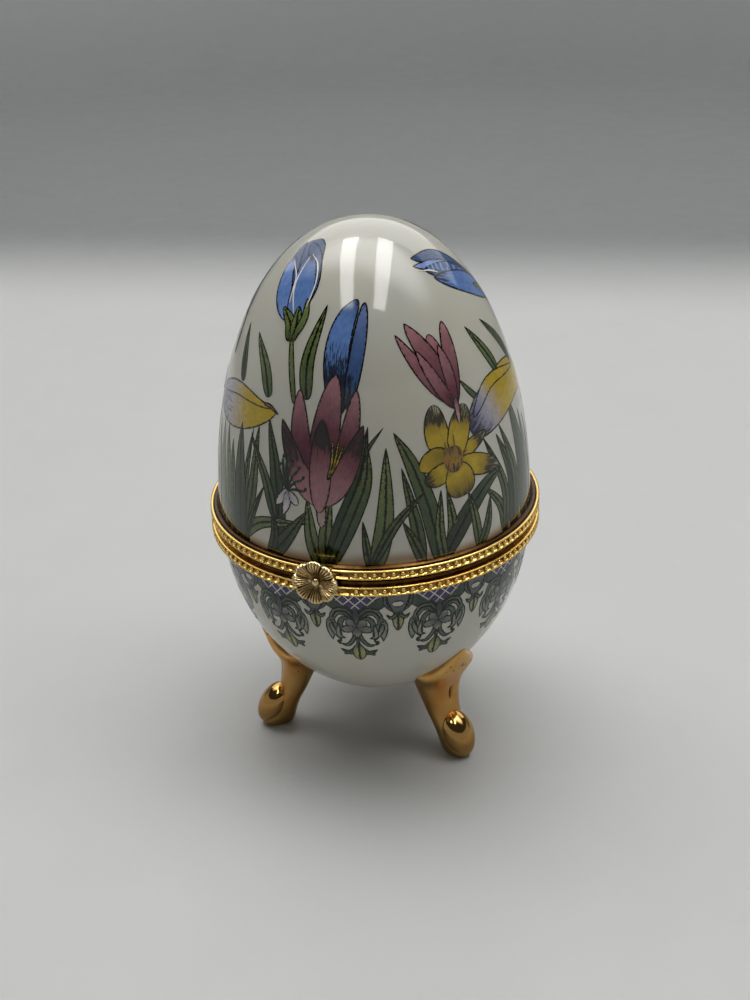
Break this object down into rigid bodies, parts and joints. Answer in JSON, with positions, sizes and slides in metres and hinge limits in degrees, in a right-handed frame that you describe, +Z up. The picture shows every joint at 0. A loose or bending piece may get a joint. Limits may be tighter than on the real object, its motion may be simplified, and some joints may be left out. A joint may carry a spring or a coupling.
{
  "type": "porcelain trinket box",
  "caption": "Egg-shaped hinged porcelain trinket box with a beaded brass rim, a flower clasp and gilded cabriole feet.",
  "frame": {"origin": "on the table, under the middle of the egg", "axes": "+Z up along the egg, -Y towards the clasp, +Y towards the hinge, +X to the right seen from the clasp"},
  "size_m": [0.061, 0.0654, 0.1],
  "materials": {
    "porcelain": "gloss",
    "painting": "gloss",
    "gilding": "gloss",
    "brass_rim": "polished",
    "brass_clasp": "polished"
  },
  "bodies": {
    "base": {"base_bowl": "porcelain", "foot_left": "gilding", "foot_right": "gilding", "foot_rear": "gilding", "base_bezel": "brass_rim", "catch_stud": "brass_rim", "hinge_base_leaf": "brass_rim", "hinge_pin": "brass_clasp"},
    "lid": {"lid_shell": "porcelain", "lid_bezel": "brass_rim", "hinge_lid_leaf": "brass_rim", "clasp_saddle": "brass_clasp"},
    "clasp": {"clasp_tongue": "brass_clasp", "clasp_rosette": "brass_clasp", "clasp_rivet": "brass_clasp"}
  },
  "joints": [
    {"name": "lid_hinge", "type": "hinge", "parent": "base", "child": "lid", "pos_m": [0, 0.0317, 0.0458], "axis": [-1, 0, 0], "range_deg": [0, 80]},
    {"name": "clasp_flex", "type": "hinge", "parent": "lid", "child": "clasp", "pos_m": [0, -0.03095, 0.04865], "axis": [-1, 0, 0], "range_deg": [0, 6], "stiffness_Nm_per_rad": 0.02}
  ]
}
